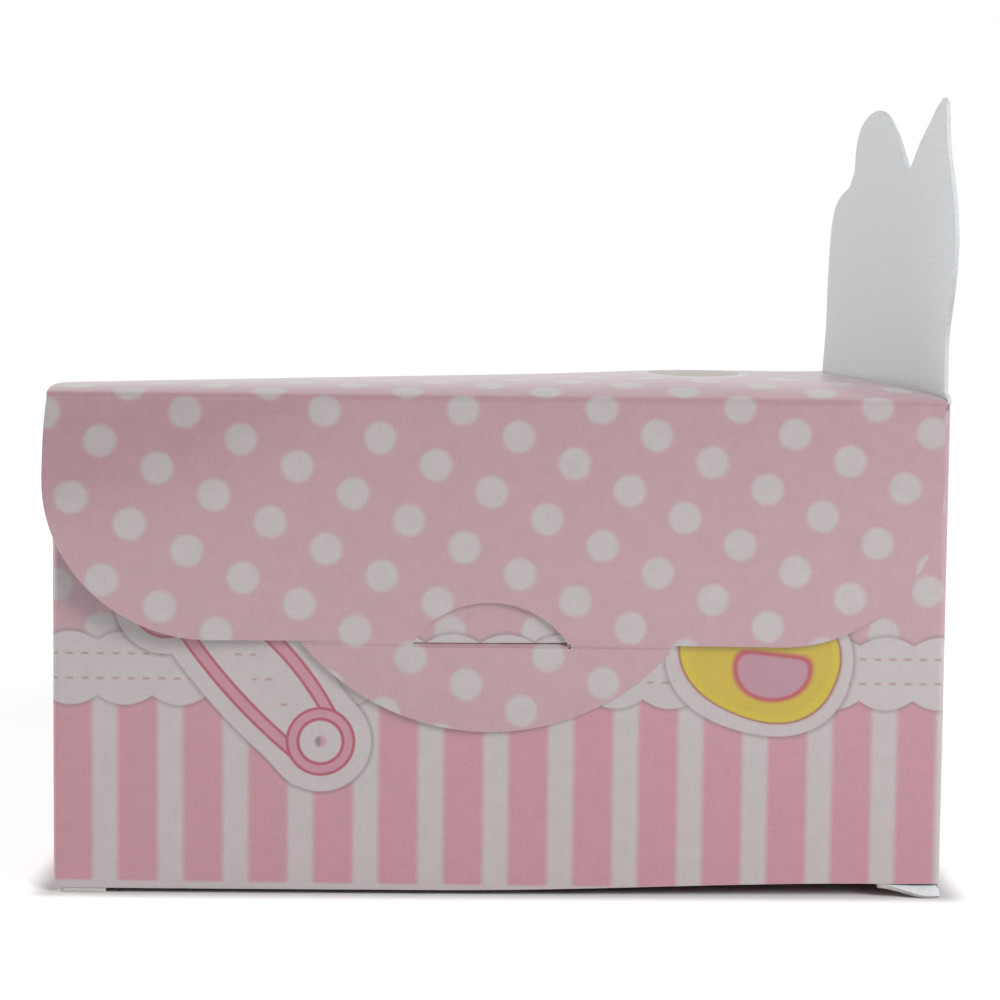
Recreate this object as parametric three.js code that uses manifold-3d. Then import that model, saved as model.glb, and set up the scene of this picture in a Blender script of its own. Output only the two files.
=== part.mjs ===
// Favor box: a folding carton cut from one sheet of paperboard. Its lid closes with a tongue whose
// half-moon tab goes through a slit in the front panel, and a die-cut figure stands up at the right.
//
// Millimetres. X runs to the right, Y to the back, Z up. The origin is the centre of the base, on the ground.
import * as THREE from 'three';
import { mergeVertices } from 'three/addons/utils/BufferGeometryUtils.js';
import Module from 'manifold-3d';

// Driving sizes of the carton
const boxWidth = 90;         // outside of the left panel to outside of the right panel
const boxDepth = 96;         // outside of the front panel to outside of the back panel
const lidHeight = 50.2;      // ground to the lid's outer face at its creases
const board = 0.4;           // paperboard thickness
const gap = 0.3;             // clearance between panels that lie on or pass each other
const frontEdgeLift = 1;     // the front panel's cut edge stays this far above the ground

// Lid
const lidOverhang = 0.3;     // the lid reaches past the left panel by this much
const domeRise = 1.8;        // the lid bulges this far above its creases
const domeRun = 4.5;         // how quickly the bulge rises behind the front crease
const domeSteps = 24;

// Closure flap, lock tongue and lock tab
const flapHeight = 24.3;     // lid's outer face to the flap's lower edge
const flapCornerRadius = 16;
const tongueWidth = 36.6;
const tongueDrop = 9;
const tabWidth = 15.7;
const tabHeight = 3.9;
const tabRootDrop = 0.8;     // the tab starts to bend this far below the tongue's crease
const tabSlope = 35;         // degrees above level, where the tab passes through the slit
const slitEndPlay = 0.5;     // room beside the tab at each end of the slit

// Inner flaps
const topDustLength = 24;
const topDustInset = 1.5;    // front edge of the top dust flap behind the front panel
const bottomDustLength = 30;
const bottomDustInset = 1;   // front edge of the bottom dust flaps behind the tuck flap
const dustCornerCut = 3;     // slanted front corner of each dust flap
const tuckGap = 0.8;         // tuck flap behind the front panel
const tuckHeight = 8;        // how far the tuck flap stands above the bottom panel
const tuckCornerRadius = 4;
const bottomSideInset = 0.4; // the bottom panel is narrower than the box by this much at each side
const shoulderWidth = 6;     // lock shoulder beside each end of the tuck flap's crease
const glueTabWidth = 12;
const glueTabInset = 2;      // glue tab short of the side panel's ends
const glueTabTaper = 3;

// Die-cut figure
const figureHeight = 32.8;   // highest point of the figure above the lid's creases

// Planes of the panels
const leftFace = -boxWidth / 2;
const rightFace = boxWidth / 2;
const frontFace = -boxDepth / 2;
const backFace = boxDepth / 2;
const lidUnderside = lidHeight - board;
const lidLeft = leftFace - lidOverhang;
const lidRight = rightFace - board - gap;
const flapFace = frontFace - gap - board;
const flapCentre = (lidLeft + lidRight) / 2;
const tongueCrease = lidHeight - flapHeight;
const topDustFace = lidUnderside - gap;
const bottomDustFace = board + gap;
const sideWallFoot = bottomDustFace + board;
const tuckFace = frontFace + board + tuckGap;
const tuckTop = board + tuckHeight;
const dustFoldStart = backFace - board - gap;

// Colours of the print and of the bare board
const pink = 0xe0b8c2;
const palePink = 0xe4c3cb;
const white = 0xe6e6e8;

const X = new THREE.Vector3(1, 0, 0);
const Y = new THREE.Vector3(0, 1, 0);
const Z = new THREE.Vector3(0, 0, 1);

// How an outline drawn on paper (across, up) with its thickness (towards the reader) is stood up.
const layFlat = new THREE.Matrix4();
const faceFront = new THREE.Matrix4().makeBasis(X, Z, Y.clone().negate());
const faceSide = new THREE.Matrix4().makeBasis(Y, Z, X);

function polygon(points) {
  return new THREE.Shape(points.map(([across, up]) => new THREE.Vector2(across, up)));
}

function rectangle(left, bottom, right, top) {
  return polygon([[left, bottom], [right, bottom], [right, top], [left, top]]);
}

function extrude(shape, thickness, curveSegments = 12) {
  return new THREE.ExtrudeGeometry(shape, { depth: thickness, bevelEnabled: false, curveSegments });
}

function panel(name, geometry, plane, offset, color) {
  const material = new THREE.MeshStandardMaterial({ color, roughness: 0.6, metalness: 0 });
  const mesh = new THREE.Mesh(geometry.applyMatrix4(plane), material);
  mesh.name = name;
  mesh.position.copy(offset);
  return mesh;
}

// Radius of the circle whose cap has the given half width and rise.
function capRadius(halfWidth, rise) {
  return (halfWidth ** 2 + rise ** 2) / (2 * rise);
}

// Adds the round top of a cap to an outline, from its left foot to its right foot.
function addCapAbove(outline, centre, foot, halfWidth, rise) {
  const radius = capRadius(halfWidth, rise);
  const halfAngle = Math.asin(halfWidth / radius);
  outline.absarc(centre, foot + rise - radius, radius, Math.PI / 2 + halfAngle, Math.PI / 2 - halfAngle, true);
}

// Adds the round bottom of a cap to an outline, from its right foot to its left foot.
function addCapBelow(outline, centre, foot, halfWidth, drop) {
  const radius = capRadius(halfWidth, drop);
  const halfAngle = Math.asin(halfWidth / radius);
  outline.absarc(centre, foot - drop + radius, radius, -Math.PI / 2 + halfAngle, -Math.PI / 2 - halfAngle, true);
}

// The lock tab bends from the tongue's plane, up through the slit, to the inside of the front panel.
const tongueMiddle = flapFace + board / 2;
const frontWallMiddle = frontFace + board / 2;
const tabMiddle = frontFace + board + gap + board / 2;
const slope = THREE.MathUtils.degToRad(tabSlope);
const tabRoot = tongueCrease - tabRootDrop;
const slitCentre = tabRoot + (frontWallMiddle - tongueMiddle) * Math.tan(slope);
const slitHalfHeight = board / 2 / Math.cos(slope) + (board / 2) * Math.tan(slope) + gap;
const slitHalfWidth = tabWidth / 2 + slitEndPlay;

function makeFrontWall() {
  const outline = rectangle(leftFace, frontEdgeLift, rightFace, topDustFace);
  const slit = rectangle(
    flapCentre - slitHalfWidth, slitCentre - slitHalfHeight,
    flapCentre + slitHalfWidth, slitCentre + slitHalfHeight);
  outline.holes.push(slit);
  const place = new THREE.Vector3(0, frontFace + board, 0);
  return panel('front_wall', extrude(outline, board), faceFront, place, pink);
}

function makeBackWall() {
  const outline = rectangle(leftFace, board, rightFace, lidUnderside);
  return panel('back_wall', extrude(outline, board), faceFront, new THREE.Vector3(0, backFace, 0), pink);
}

function makeSideWall(name, innerEdge, top) {
  const outline = rectangle(frontFace + board, sideWallFoot, backFace - board, top);
  return panel(name, extrude(outline, board), faceSide, new THREE.Vector3(innerEdge, 0, 0), pink);
}

// The seam tab is folded in from the left panel and glued to the inside of the back panel.
function makeGlueTab() {
  const root = leftFace + board;
  const end = root + glueTabWidth;
  const foot = sideWallFoot + glueTabInset;
  const top = topDustFace - board - glueTabInset;
  const outline = polygon([[root, foot], [end, foot + glueTabTaper], [end, top - glueTabTaper], [root, top]]);
  const place = new THREE.Vector3(0, backFace - board, 0);
  return panel('glue_tab', extrude(outline, board), faceFront, place, white);
}

// Outline of the figure, in shares of the box's depth (from the front) and of the figure's height.
// Each list is one smooth stretch of the cut edge: brow, crest, hump and tail.
const figureStretches = [
  [[0, 0.2], [-0.03, 0.35], [-0.042, 0.44], [-0.044, 0.53], [-0.022, 0.65], [0.018, 0.78], [0.036, 0.92]],
  [[0.062, 0.945], [0.11, 0.92], [0.15, 0.88], [0.2, 0.835], [0.245, 0.795], [0.27, 0.77]],
  [[0.3, 0.775], [0.325, 0.81], [0.37, 0.87], [0.41, 0.913], [0.47, 0.97], [0.535, 0.998],
    [0.58, 1], [0.62, 0.995], [0.69, 0.965], [0.732, 0.898], [0.745, 0.805]],
  [[0.79, 0.752], [0.905, 0.706], [0.96, 0.608], [0.982, 0.45], [0.99, 0.36], [0.998, 0.19]],
];

function figureOutline() {
  const point = ([depthShare, heightShare]) =>
    new THREE.Vector2(frontFace + depthShare * boxDepth, lidHeight + heightShare * figureHeight);
  const outline = new THREE.Shape();
  outline.moveTo(frontFace, lidHeight);
  for (const stretch of figureStretches) {
    const [first, ...others] = stretch.map(point);
    outline.lineTo(first.x, first.y);
    outline.splineThru(others);
  }
  outline.lineTo(backFace, lidHeight);
  return outline;
}

function makeFigure() {
  const place = new THREE.Vector3(rightFace - board, 0, 0);
  const figureCurveSegments = 3;
  return panel('popup_figure', extrude(figureOutline(), board, figureCurveSegments), faceSide, place, white);
}

// Height of the bulge above the creases, at a share of the way from the front crease to the back one.
function domeHeight(share) {
  const behindCrease = share * (backFace - flapFace);
  return domeRise * (1 - Math.exp(-behindCrease / domeRun)) * (1 - share ** 2);
}

// The lid is one sheet with a domed profile, drawn from the side.
function makeLid() {
  const upper = [];
  const lower = [];
  for (let step = 0; step <= domeSteps; step++) {
    // steps lie closer together near the front crease, where the bulge bends most
    const share = (step / domeSteps) ** 1.6;
    const depth = flapFace + share * (backFace - flapFace);
    upper.push([depth, lidHeight + domeHeight(share)]);
    lower.push([depth, lidUnderside + domeHeight(share)]);
  }
  const profile = polygon([...lower, ...upper.reverse()]);
  const place = new THREE.Vector3(lidLeft, 0, 0);
  return panel('lid_panel', extrude(profile, lidRight - lidLeft), faceSide, place, palePink);
}

function makeClosureFlap() {
  const outline = new THREE.Shape();
  outline.moveTo(lidLeft, lidUnderside);
  outline.lineTo(lidLeft, tongueCrease + flapCornerRadius);
  outline.absarc(lidLeft + flapCornerRadius, tongueCrease + flapCornerRadius, flapCornerRadius,
    Math.PI, Math.PI * 1.5, false);
  outline.lineTo(flapCentre - tabWidth / 2, tongueCrease);
  addCapAbove(outline, flapCentre, tongueCrease, tabWidth / 2, tabHeight);
  outline.lineTo(lidRight - flapCornerRadius, tongueCrease);
  outline.absarc(lidRight - flapCornerRadius, tongueCrease + flapCornerRadius, flapCornerRadius,
    Math.PI * 1.5, Math.PI * 2, false);
  outline.lineTo(lidRight, lidUnderside);
  const place = new THREE.Vector3(0, flapFace + board, 0);
  return panel('closure_flap', extrude(outline, board), faceFront, place, palePink);
}

// The tongue's upper edge is its crease, with a step in the middle where the lock tab leaves it.
function makeLockTongue() {
  const halfWidth = tongueWidth / 2;
  const outline = new THREE.Shape();
  outline.moveTo(flapCentre - halfWidth, tongueCrease);
  outline.lineTo(flapCentre - tabWidth / 2, tongueCrease);
  outline.lineTo(flapCentre - tabWidth / 2, tabRoot);
  outline.lineTo(flapCentre + tabWidth / 2, tabRoot);
  outline.lineTo(flapCentre + tabWidth / 2, tongueCrease);
  outline.lineTo(flapCentre + halfWidth, tongueCrease);
  addCapBelow(outline, flapCentre, tongueCrease, halfWidth, tongueDrop);
  const place = new THREE.Vector3(0, flapFace + board, 0);
  return panel('lock_tongue', extrude(outline, board, 24), faceFront, place, palePink);
}

// Outline of a strip of board along a bent path, with mitred bends.
function bentStrip(path) {
  const sides = [1, -1].map((side) => path.map((corner, i) => {
    const before = corner.clone().sub(path[Math.max(i - 1, 0)]).normalize();
    const after = path[Math.min(i + 1, path.length - 1)].clone().sub(corner).normalize();
    const along = before.add(after).normalize();
    const straight = i === 0 || i === path.length - 1;
    const bend = straight ? 1 : along.dot(after);
    const reach = side * board / 2 / bend;
    return [corner.x - along.y * reach, corner.y + along.x * reach];
  }));
  return polygon([...sides[0], ...sides[1].reverse()]);
}

const wasm = await Module();
wasm.setup();

function toSolid(geometry) {
  const bare = geometry.clone();
  bare.deleteAttribute('normal');
  bare.deleteAttribute('uv');
  const merged = mergeVertices(bare);
  return new wasm.Manifold(new wasm.Mesh({
    numProp: 3,
    vertProperties: new Float32Array(merged.attributes.position.array),
    triVerts: new Uint32Array(merged.index.array),
  }));
}

function toGeometry(solid) {
  const { vertProperties, triVerts } = solid.getMesh();
  const geometry = new THREE.BufferGeometry();
  geometry.setAttribute('position', new THREE.BufferAttribute(new Float32Array(vertProperties), 3));
  geometry.setIndex(new THREE.BufferAttribute(new Uint32Array(triVerts), 1));
  geometry.computeVertexNormals();
  return geometry;
}

// The tab is the bent strip, trimmed to the half-moon that was cut out of the flap.
function makeLockTab() {
  const halfWidth = tabWidth / 2 - gap;
  const slantRun = tabMiddle - tongueMiddle;
  const path = [
    new THREE.Vector2(tongueMiddle, tabRoot),
    new THREE.Vector2(tongueMiddle, tabRoot + board / 4),
    new THREE.Vector2(tabMiddle, tabRoot + slantRun * Math.tan(slope)),
    new THREE.Vector2(tabMiddle, tongueCrease + tabHeight),
  ];
  const strip = extrude(bentStrip(path), 2 * halfWidth).applyMatrix4(faceSide);
  strip.translate(flapCentre - halfWidth, 0, 0);

  const moon = new THREE.Shape();
  moon.moveTo(flapCentre - halfWidth, tabRoot - gap);
  moon.lineTo(flapCentre - halfWidth, tongueCrease);
  addCapAbove(moon, flapCentre, tongueCrease, halfWidth, tabHeight - gap);
  moon.lineTo(flapCentre + halfWidth, tabRoot - gap);
  const cutterStart = tabMiddle + board;
  const cutter = extrude(moon, cutterStart - flapFace + board, 16).applyMatrix4(faceFront);
  cutter.translate(0, cutterStart, 0);

  const tab = toGeometry(toSolid(strip).intersect(toSolid(cutter)));
  return panel('lock_tab', tab, layFlat, new THREE.Vector3(), palePink);
}

// A dust flap tapers towards the back at 45 degrees, so that it can follow the panel that covers it.
// Its outline starts at its crease and is drawn for a flap on the left; side -1 mirrors it to the right.
function makeDustFlap(name, side, length, frontEdge, underside) {
  const crease = side * leftFace;
  const tip = crease + side * length;
  const corner = tip - side * dustCornerCut;
  const points = [
    [crease, frontEdge],
    [corner, frontEdge],
    [tip, frontEdge + dustCornerCut],
    [tip, dustFoldStart - length],
    [crease, dustFoldStart],
  ];
  return panel(name, extrude(polygon(points), board), layFlat, new THREE.Vector3(0, 0, underside), white);
}

// The bottom panel ends at the tuck flap's crease, and its two lock shoulders reach on under the front panel.
function makeBottomPanel() {
  const left = leftFace + bottomSideInset;
  const right = rightFace - bottomSideInset;
  const outline = polygon([
    [left, frontFace],
    [left + shoulderWidth, frontFace],
    [left + shoulderWidth, tuckFace],
    [right - shoulderWidth, tuckFace],
    [right - shoulderWidth, frontFace],
    [right, frontFace],
    [right, backFace],
    [left, backFace],
  ]);
  return panel('bottom_panel', extrude(outline, board), layFlat, new THREE.Vector3(), pink);
}

function makeTuckFlap() {
  const left = leftFace + bottomSideInset + shoulderWidth + gap;
  const right = rightFace - bottomSideInset - shoulderWidth - gap;
  const cornerStart = tuckTop - tuckCornerRadius;
  const outline = new THREE.Shape();
  outline.moveTo(left, board);
  outline.lineTo(right, board);
  outline.lineTo(right, cornerStart);
  outline.absarc(right - tuckCornerRadius, cornerStart, tuckCornerRadius, 0, Math.PI / 2, false);
  outline.lineTo(left + tuckCornerRadius, tuckTop);
  outline.absarc(left + tuckCornerRadius, cornerStart, tuckCornerRadius, Math.PI / 2, Math.PI, false);
  const place = new THREE.Vector3(0, tuckFace + board, 0);
  return panel('bottom_tuck_flap', extrude(outline, board, 8), faceFront, place, white);
}

// The scene graph follows the folded sheet: walls, then the lid with its flap, then the bottom closure.
const walls = new THREE.Group();
walls.add(
  makeFrontWall(),
  makeBackWall(),
  makeSideWall('left_wall', leftFace, topDustFace - board),
  makeSideWall('right_wall', rightFace - board, lidHeight),
  makeFigure(),
  makeGlueTab());

const closure = new THREE.Group();
closure.add(makeClosureFlap(), makeLockTongue(), makeLockTab());
const lid = new THREE.Group();
const topDustFront = frontFace + board + topDustInset;
lid.add(
  makeLid(),
  closure,
  makeDustFlap('top_dust_flap', 1, topDustLength, topDustFront, topDustFace - board));

const bottom = new THREE.Group();
const bottomDustFront = tuckFace + board + bottomDustInset;
bottom.add(
  makeBottomPanel(),
  makeTuckFlap(),
  makeDustFlap('bottom_dust_flap_left', 1, bottomDustLength, bottomDustFront, bottomDustFace),
  makeDustFlap('bottom_dust_flap_right', -1, bottomDustLength, bottomDustFront, bottomDustFace));

const favorBox = new THREE.Group();
favorBox.add(walls, lid, bottom);
export default favorBox;
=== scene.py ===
# %% [markdown]
# # A small favor box of folded paperboard
#
# The real object is one printed sheet of thin board, cut and creased so that it folds into a box.
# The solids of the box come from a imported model, with their joints. This notebook dresses them:
# every panel that shows becomes a fine sheet with rounded creases, a printed outside, a bare white
# inside and pale cut edges. Nothing here changes where a panel is or how it turns.

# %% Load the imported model
import math

import bpy
import numpy as np
from mathutils import Matrix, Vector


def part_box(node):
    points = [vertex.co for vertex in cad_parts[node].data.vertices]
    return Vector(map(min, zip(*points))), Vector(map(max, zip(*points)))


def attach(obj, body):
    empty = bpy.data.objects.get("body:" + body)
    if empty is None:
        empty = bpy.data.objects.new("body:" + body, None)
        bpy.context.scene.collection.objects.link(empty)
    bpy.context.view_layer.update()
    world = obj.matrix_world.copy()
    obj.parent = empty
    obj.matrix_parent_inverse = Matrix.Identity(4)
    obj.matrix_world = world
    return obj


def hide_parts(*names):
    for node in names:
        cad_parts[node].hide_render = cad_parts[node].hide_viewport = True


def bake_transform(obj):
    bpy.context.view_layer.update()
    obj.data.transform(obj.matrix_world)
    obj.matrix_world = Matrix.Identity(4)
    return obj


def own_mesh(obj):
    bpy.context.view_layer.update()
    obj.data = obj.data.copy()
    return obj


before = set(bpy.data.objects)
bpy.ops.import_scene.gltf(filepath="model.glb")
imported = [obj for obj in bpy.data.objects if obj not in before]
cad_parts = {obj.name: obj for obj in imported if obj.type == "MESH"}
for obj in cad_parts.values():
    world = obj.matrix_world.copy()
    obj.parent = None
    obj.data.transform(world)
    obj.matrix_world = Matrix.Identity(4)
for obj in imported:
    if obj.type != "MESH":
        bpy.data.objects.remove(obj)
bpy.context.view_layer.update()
print("solids in the model:", len(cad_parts))

# %% [markdown]
# ## The sizes of the carton
#
# A drawing of a carton is easier to read in millimetres, so all shapes below are worked out in
# millimetres and become metres only when a mesh is made. The planes of the panels are read from the
# solids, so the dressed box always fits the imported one. X runs to the right, Y to the back and Z up.

# %% Planes of the panels, in millimetres
def corner_sizes(node):
    """Lowest and highest corner of a solid, in millimetres."""
    low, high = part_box(node)
    return np.array(low) * 1000, np.array(high) * 1000


left_face = corner_sizes("left_wall")[0][0]
right_face = corner_sizes("right_wall")[1][0]
front_face = corner_sizes("front_wall")[0][1]
back_face = corner_sizes("back_wall")[1][1]
lid_height = corner_sizes("popup_figure")[0][2]
lid_left = corner_sizes("lid_panel")[0][0]
lid_right = corner_sizes("lid_panel")[1][0]
flap_face = corner_sizes("closure_flap")[0][1]
tongue_crease = corner_sizes("lock_tongue")[1][2]
wall_top = corner_sizes("front_wall")[1][2]
board = corner_sizes("front_wall")[1][1] - front_face
flap_centre = (lid_left + lid_right) / 2
depth = back_face - front_face
print("outside:", right_face - left_face, "x", depth, "x", lid_height, "mm")
print("board:", round(board, 2), "mm")

# %% [markdown]
# ## The camera
#
# The box was photographed from straight ahead with a long lens, a little above the lid's height. The
# camera looks slightly down and to the right, and it leans by less than a degree, so the box leans in
# the picture as it does in the photograph. Its three directions are worked out with sines and
# cosines, because they then go into the camera's matrix in one step.

# %% Camera
camera_place = (-1.19, -298.1, 60.0)
looks_right, looks_down, leans = math.radians(1.47), math.radians(4.53), math.radians(0.676)
sensor_width = 36
lens_length = sensor_width * 2.503
picture_shift = -0.0544

forward = np.array([math.sin(looks_right) * math.cos(looks_down),
                    math.cos(looks_right) * math.cos(looks_down),
                    -math.sin(looks_down)])
level_right = np.array([math.cos(looks_right), -math.sin(looks_right), 0.0])
level_up = np.cross(level_right, forward)
camera_right = math.cos(leans) * level_right + math.sin(leans) * level_up
camera_up = math.cos(leans) * level_up - math.sin(leans) * level_right

lens = bpy.data.cameras.new("camera")
lens.sensor_width = sensor_width
lens.lens = lens_length
lens.shift_x = picture_shift
lens.clip_start = 0.01
camera = bpy.data.objects.new("camera", lens)
bpy.context.scene.collection.objects.link(camera)
placed = np.eye(4)
placed[:3, :3] = np.column_stack([camera_right, camera_up, -forward])
placed[:3, 3] = np.array(camera_place) / 1000
camera.matrix_world = Matrix(placed.tolist())
bpy.context.scene.camera = camera
print("lens", round(lens.lens, 1), "mm at", camera_place, "mm")

# %% [markdown]
# ## From a grid of points to a folded sheet
#
# Every panel is a grid: one direction runs across the panel, the other along it, and a formula gives
# the place of each grid point. The grid is the printed outside only. A Solidify modifier then gives
# it the thickness of the board and puts a second material on the inside and a third on the cut
# edges. The edges of the grid are marked sharp, so a cut edge isn't shaded as if it were round.
#
# The print is flat before the board is folded. So each grid point also keeps its place on the flat
# print, in millimetres, and the inks read that place. The pattern then runs on over a crease, and it
# stays on the board when a panel turns.

# %% Sheet maker
rear_left_drop, rear_right_drop = -1.1, 0.3


def quads_of(rows, columns):
    """Corner numbers of the grid's cells, as an array of rows - 1 by columns - 1 by 4."""
    number = np.arange(rows * columns).reshape(rows, columns)
    return np.stack([number[:-1, :-1], number[:-1, 1:], number[1:, 1:], number[1:, :-1]], axis=-1)


def settle(points):
    """The folded box isn't quite square: its back left corner sits low and its back right corner
    high. The drop grows evenly with the height, with the way to the back, and from right to left."""
    way_back = np.clip((points[..., 1] - front_face) / depth, 0, 1)
    way_right = np.clip((points[..., 0] - left_face) / (right_face - left_face), 0, 1)
    way_up = np.clip(points[..., 2] / lid_height, 0, 1)
    drop = rear_left_drop * (1 - way_right) + rear_right_drop * way_right
    settled = points.copy()
    settled[..., 2] += way_up * way_back * drop
    return settled


def sheet(name, points, print_place, sides, outside, kept=None):
    """One panel of board. points and print_place are grids of places in millimetres, sides are the
    materials of the outside, the inside and the cut edges, outside is a direction that the printed
    side faces, and kept says which cells of the grid are board."""
    rows, columns = points.shape[:2]
    quads = quads_of(rows, columns)
    corners = settle(points).reshape(-1, 3)
    first, across, along = (corners[quads[..., k].ravel()] for k in (0, 1, 3))
    if np.cross(across - first, along - first).sum(0) @ np.array(outside) < 0:
        quads = quads[..., ::-1]
    quads = quads.reshape(-1, 4) if kept is None else quads[kept]
    used, quads = np.unique(quads, return_inverse=True)
    mesh = bpy.data.meshes.new(name)
    mesh.from_pydata((corners[used] / 1000).tolist(), [], quads.reshape(-1, 4).tolist())
    mesh.polygons.foreach_set("use_smooth", np.ones(len(mesh.polygons), bool))
    edge_of_loop = np.zeros(len(mesh.loops), int)
    mesh.loops.foreach_get("edge_index", edge_of_loop)
    cut = np.bincount(edge_of_loop, minlength=len(mesh.edges)) == 1
    mesh.attributes.new("sharp_edge", "BOOLEAN", "EDGE").data.foreach_set("value", cut)
    place = np.zeros((rows * columns, 3), np.float32)
    place[:, :print_place.shape[-1]] = print_place.reshape(rows * columns, -1)
    kept_place = mesh.attributes.new("print_place", "FLOAT_VECTOR", "POINT")
    kept_place.data.foreach_set("vector", place[used].ravel())
    for side in sides:
        mesh.materials.append(side)
    piece = bpy.data.objects.new(name, mesh)
    bpy.context.scene.collection.objects.link(piece)
    thicken = piece.modifiers.new("board", "SOLIDIFY")
    thicken.thickness = board / 1000
    thicken.offset = -1
    thicken.use_even_offset = True
    thicken.material_offset = 1
    thicken.material_offset_rim = 2
    print(name, "cells:", len(mesh.polygons))
    return piece


# %% [markdown]
# A panel's grid mostly lies between two of its edges. So an edge is written as a row of places, and
# one helper fills in the rows between two of them. Round corners come up on three panels: the steps
# along their arcs are even in angle, so that the arcs stay round.

# %% Edges and corners
def edge(*parts):
    """A row of places in two or three parts. Any part may be one number for the whole row."""
    return np.stack(np.broadcast_arrays(*(np.asarray(part, float) for part in parts)), axis=-1)


def ruled(first_edge, last_edge, shares):
    """A grid between two edges: each row lies at a share of the straight way between them."""
    shares = np.asarray(shares, float)[:, None, None]
    return first_edge + shares * (last_edge - first_edge)


def corner_columns(left, right, radius, angles):
    """Places across a panel along its two round corners: radius * (1 - cos angle) from each side."""
    way_in = radius * (1 - np.cos(angles))
    return np.concatenate([left + way_in, right - way_in])


def corner_rise(columns, left, right, radius):
    """How far a round corner lies inside the square one: radius - sqrt(radius^2 - past^2), with past
    the way from the start of the arc towards the side."""
    from_side = np.minimum(columns - left, right - columns)
    return radius - np.sqrt(radius ** 2 - np.clip(radius - from_side, 0, radius) ** 2)


def smooth_step(value):
    """0 up to 0, 1 from 1 on, and 3 t^2 - 2 t^3 between."""
    t = np.clip(value, 0, 1)
    return t ** 2 * (3 - 2 * t)


# %% [markdown]
# ## Small steps for drawing inks with nodes
#
# The print is drawn with shader nodes, from the place on the flat print. A few small helpers keep
# the recipes readable: one does arithmetic, one fades softly between two distances from an outline,
# one lays a colour over another, and one does these last two at once. Soft fades matter, because
# printed edges are never knife sharp.

# %% Node helpers
def calc(tree, operation, *values):
    """One Math node. The values are numbers or outputs of other nodes."""
    node = tree.nodes.new("ShaderNodeMath")
    node.operation = operation
    for socket, value in zip(node.inputs, values):
        if isinstance(value, bpy.types.NodeSocket):
            tree.links.new(value, socket)
        else:
            socket.default_value = value
    return node.outputs[0]


def parts_of(tree, place):
    """The three parts of a place or a direction."""
    split = tree.nodes.new("ShaderNodeSeparateXYZ")
    tree.links.new(place, split.inputs[0])
    return split.outputs


def length_of(tree, across, along):
    """The length of a way that goes so far across and so far along."""
    squares = [calc(tree, "MULTIPLY", part, part) for part in (across, along)]
    return calc(tree, "SQRT", calc(tree, "ADD", *squares))


def fade(tree, value, solid, clear):
    """1 where the value has reached solid, 0 from clear on, and a smooth step between them."""
    node = tree.nodes.new("ShaderNodeMapRange")
    node.interpolation_type = "SMOOTHSTEP"
    tree.links.new(value, node.inputs["Value"])
    node.inputs["From Min"].default_value = clear
    node.inputs["From Max"].default_value = solid
    return node.outputs[0]


def lay(tree, under, over, amount):
    """The colour over laid on the colour under, by amount. Colours are triples or outputs."""
    node = tree.nodes.new("ShaderNodeMix")
    node.data_type = "RGBA"
    for socket, value in ((node.inputs[0], amount), (node.inputs[6], under), (node.inputs[7], over)):
        if isinstance(value, bpy.types.NodeSocket):
            tree.links.new(value, socket)
        else:
            socket.default_value = value if isinstance(value, float) else (*value, 1.0)
    return node.outputs[2]


def fill(tree, under, over, distance, solid, clear, strength=1.0):
    """The colour over laid where the distance has reached solid, and fading out until clear. A
    strength below 1 lets the colour under show through."""
    amount = fade(tree, distance, solid, clear)
    if strength < 1:
        amount = calc(tree, "MULTIPLY", amount, strength)
    return lay(tree, under, over, amount)


# %% [markdown]
# ## Inks of the print
#
# These are the colours of the print in plain daylight, before the light of the scene shades them.
# The varnish over the print mirrors a little white light to the camera, also where it faces the
# camera. So that share is taken off each ink first.

# %% Colours
varnish_share = 0.02


def linear(red, green, blue):
    """A colour written as 0 to 255 on the screen, as the light levels that the shader wants."""
    screen = np.array([red, green, blue]) / 255
    levels = np.where(screen > 0.04045, ((screen + 0.055) / 1.055) ** 2.4, screen / 12.92)
    return tuple(levels.tolist())


def ink(red, green, blue):
    """An ink under varnish: its light levels less the varnish's own share."""
    return tuple(max(level - varnish_share, 0.0) for level in linear(red, green, blue))


white_ink = ink(200, 190, 191)
dot_pink = ink(197, 160, 168)
stripe_pink = ink(202, 146, 158)
stitch_pink = ink(184, 146, 146)
line_pink = ink(196, 119, 139)
shadow_grey = ink(112, 98, 104)
pin_pink = ink(200, 140, 158)
pin_outline = ink(176, 76, 94)
disc_brown = ink(130, 94, 48)
yellow = ink(206, 178, 40)
deep_yellow = ink(210, 186, 0)
oval_pink = ink(188, 139, 155)
red_outline = ink(186, 76, 84)
guard_outline = ink(150, 84, 40)
bare_white, bare_shade = linear(228, 233, 235), linear(219, 222, 224)
cut_white, cut_shade = linear(214, 209, 206), linear(198, 192, 189)
black = (0.0, 0.0, 0.0)
print("white ink", [round(v, 2) for v in white_ink])

# %% [markdown]
# ## Repeating patterns
#
# Dots, stripes, a scalloped band and stitches all repeat. For each, the place is divided by the
# pattern's pitch, and only the fraction is kept, so one drawing serves for every repeat.

# %% Dots, stripes and scallops
def repeat(tree, value, start, pitch):
    """How far the value is from the nearest repeat of start, from -0.5 to 0.5 of the pitch."""
    steps = calc(tree, "DIVIDE", calc(tree, "SUBTRACT", value, start), pitch)
    return calc(tree, "SUBTRACT", calc(tree, "FRACT", calc(tree, "ADD", steps, 0.5)), 0.5)


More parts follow.
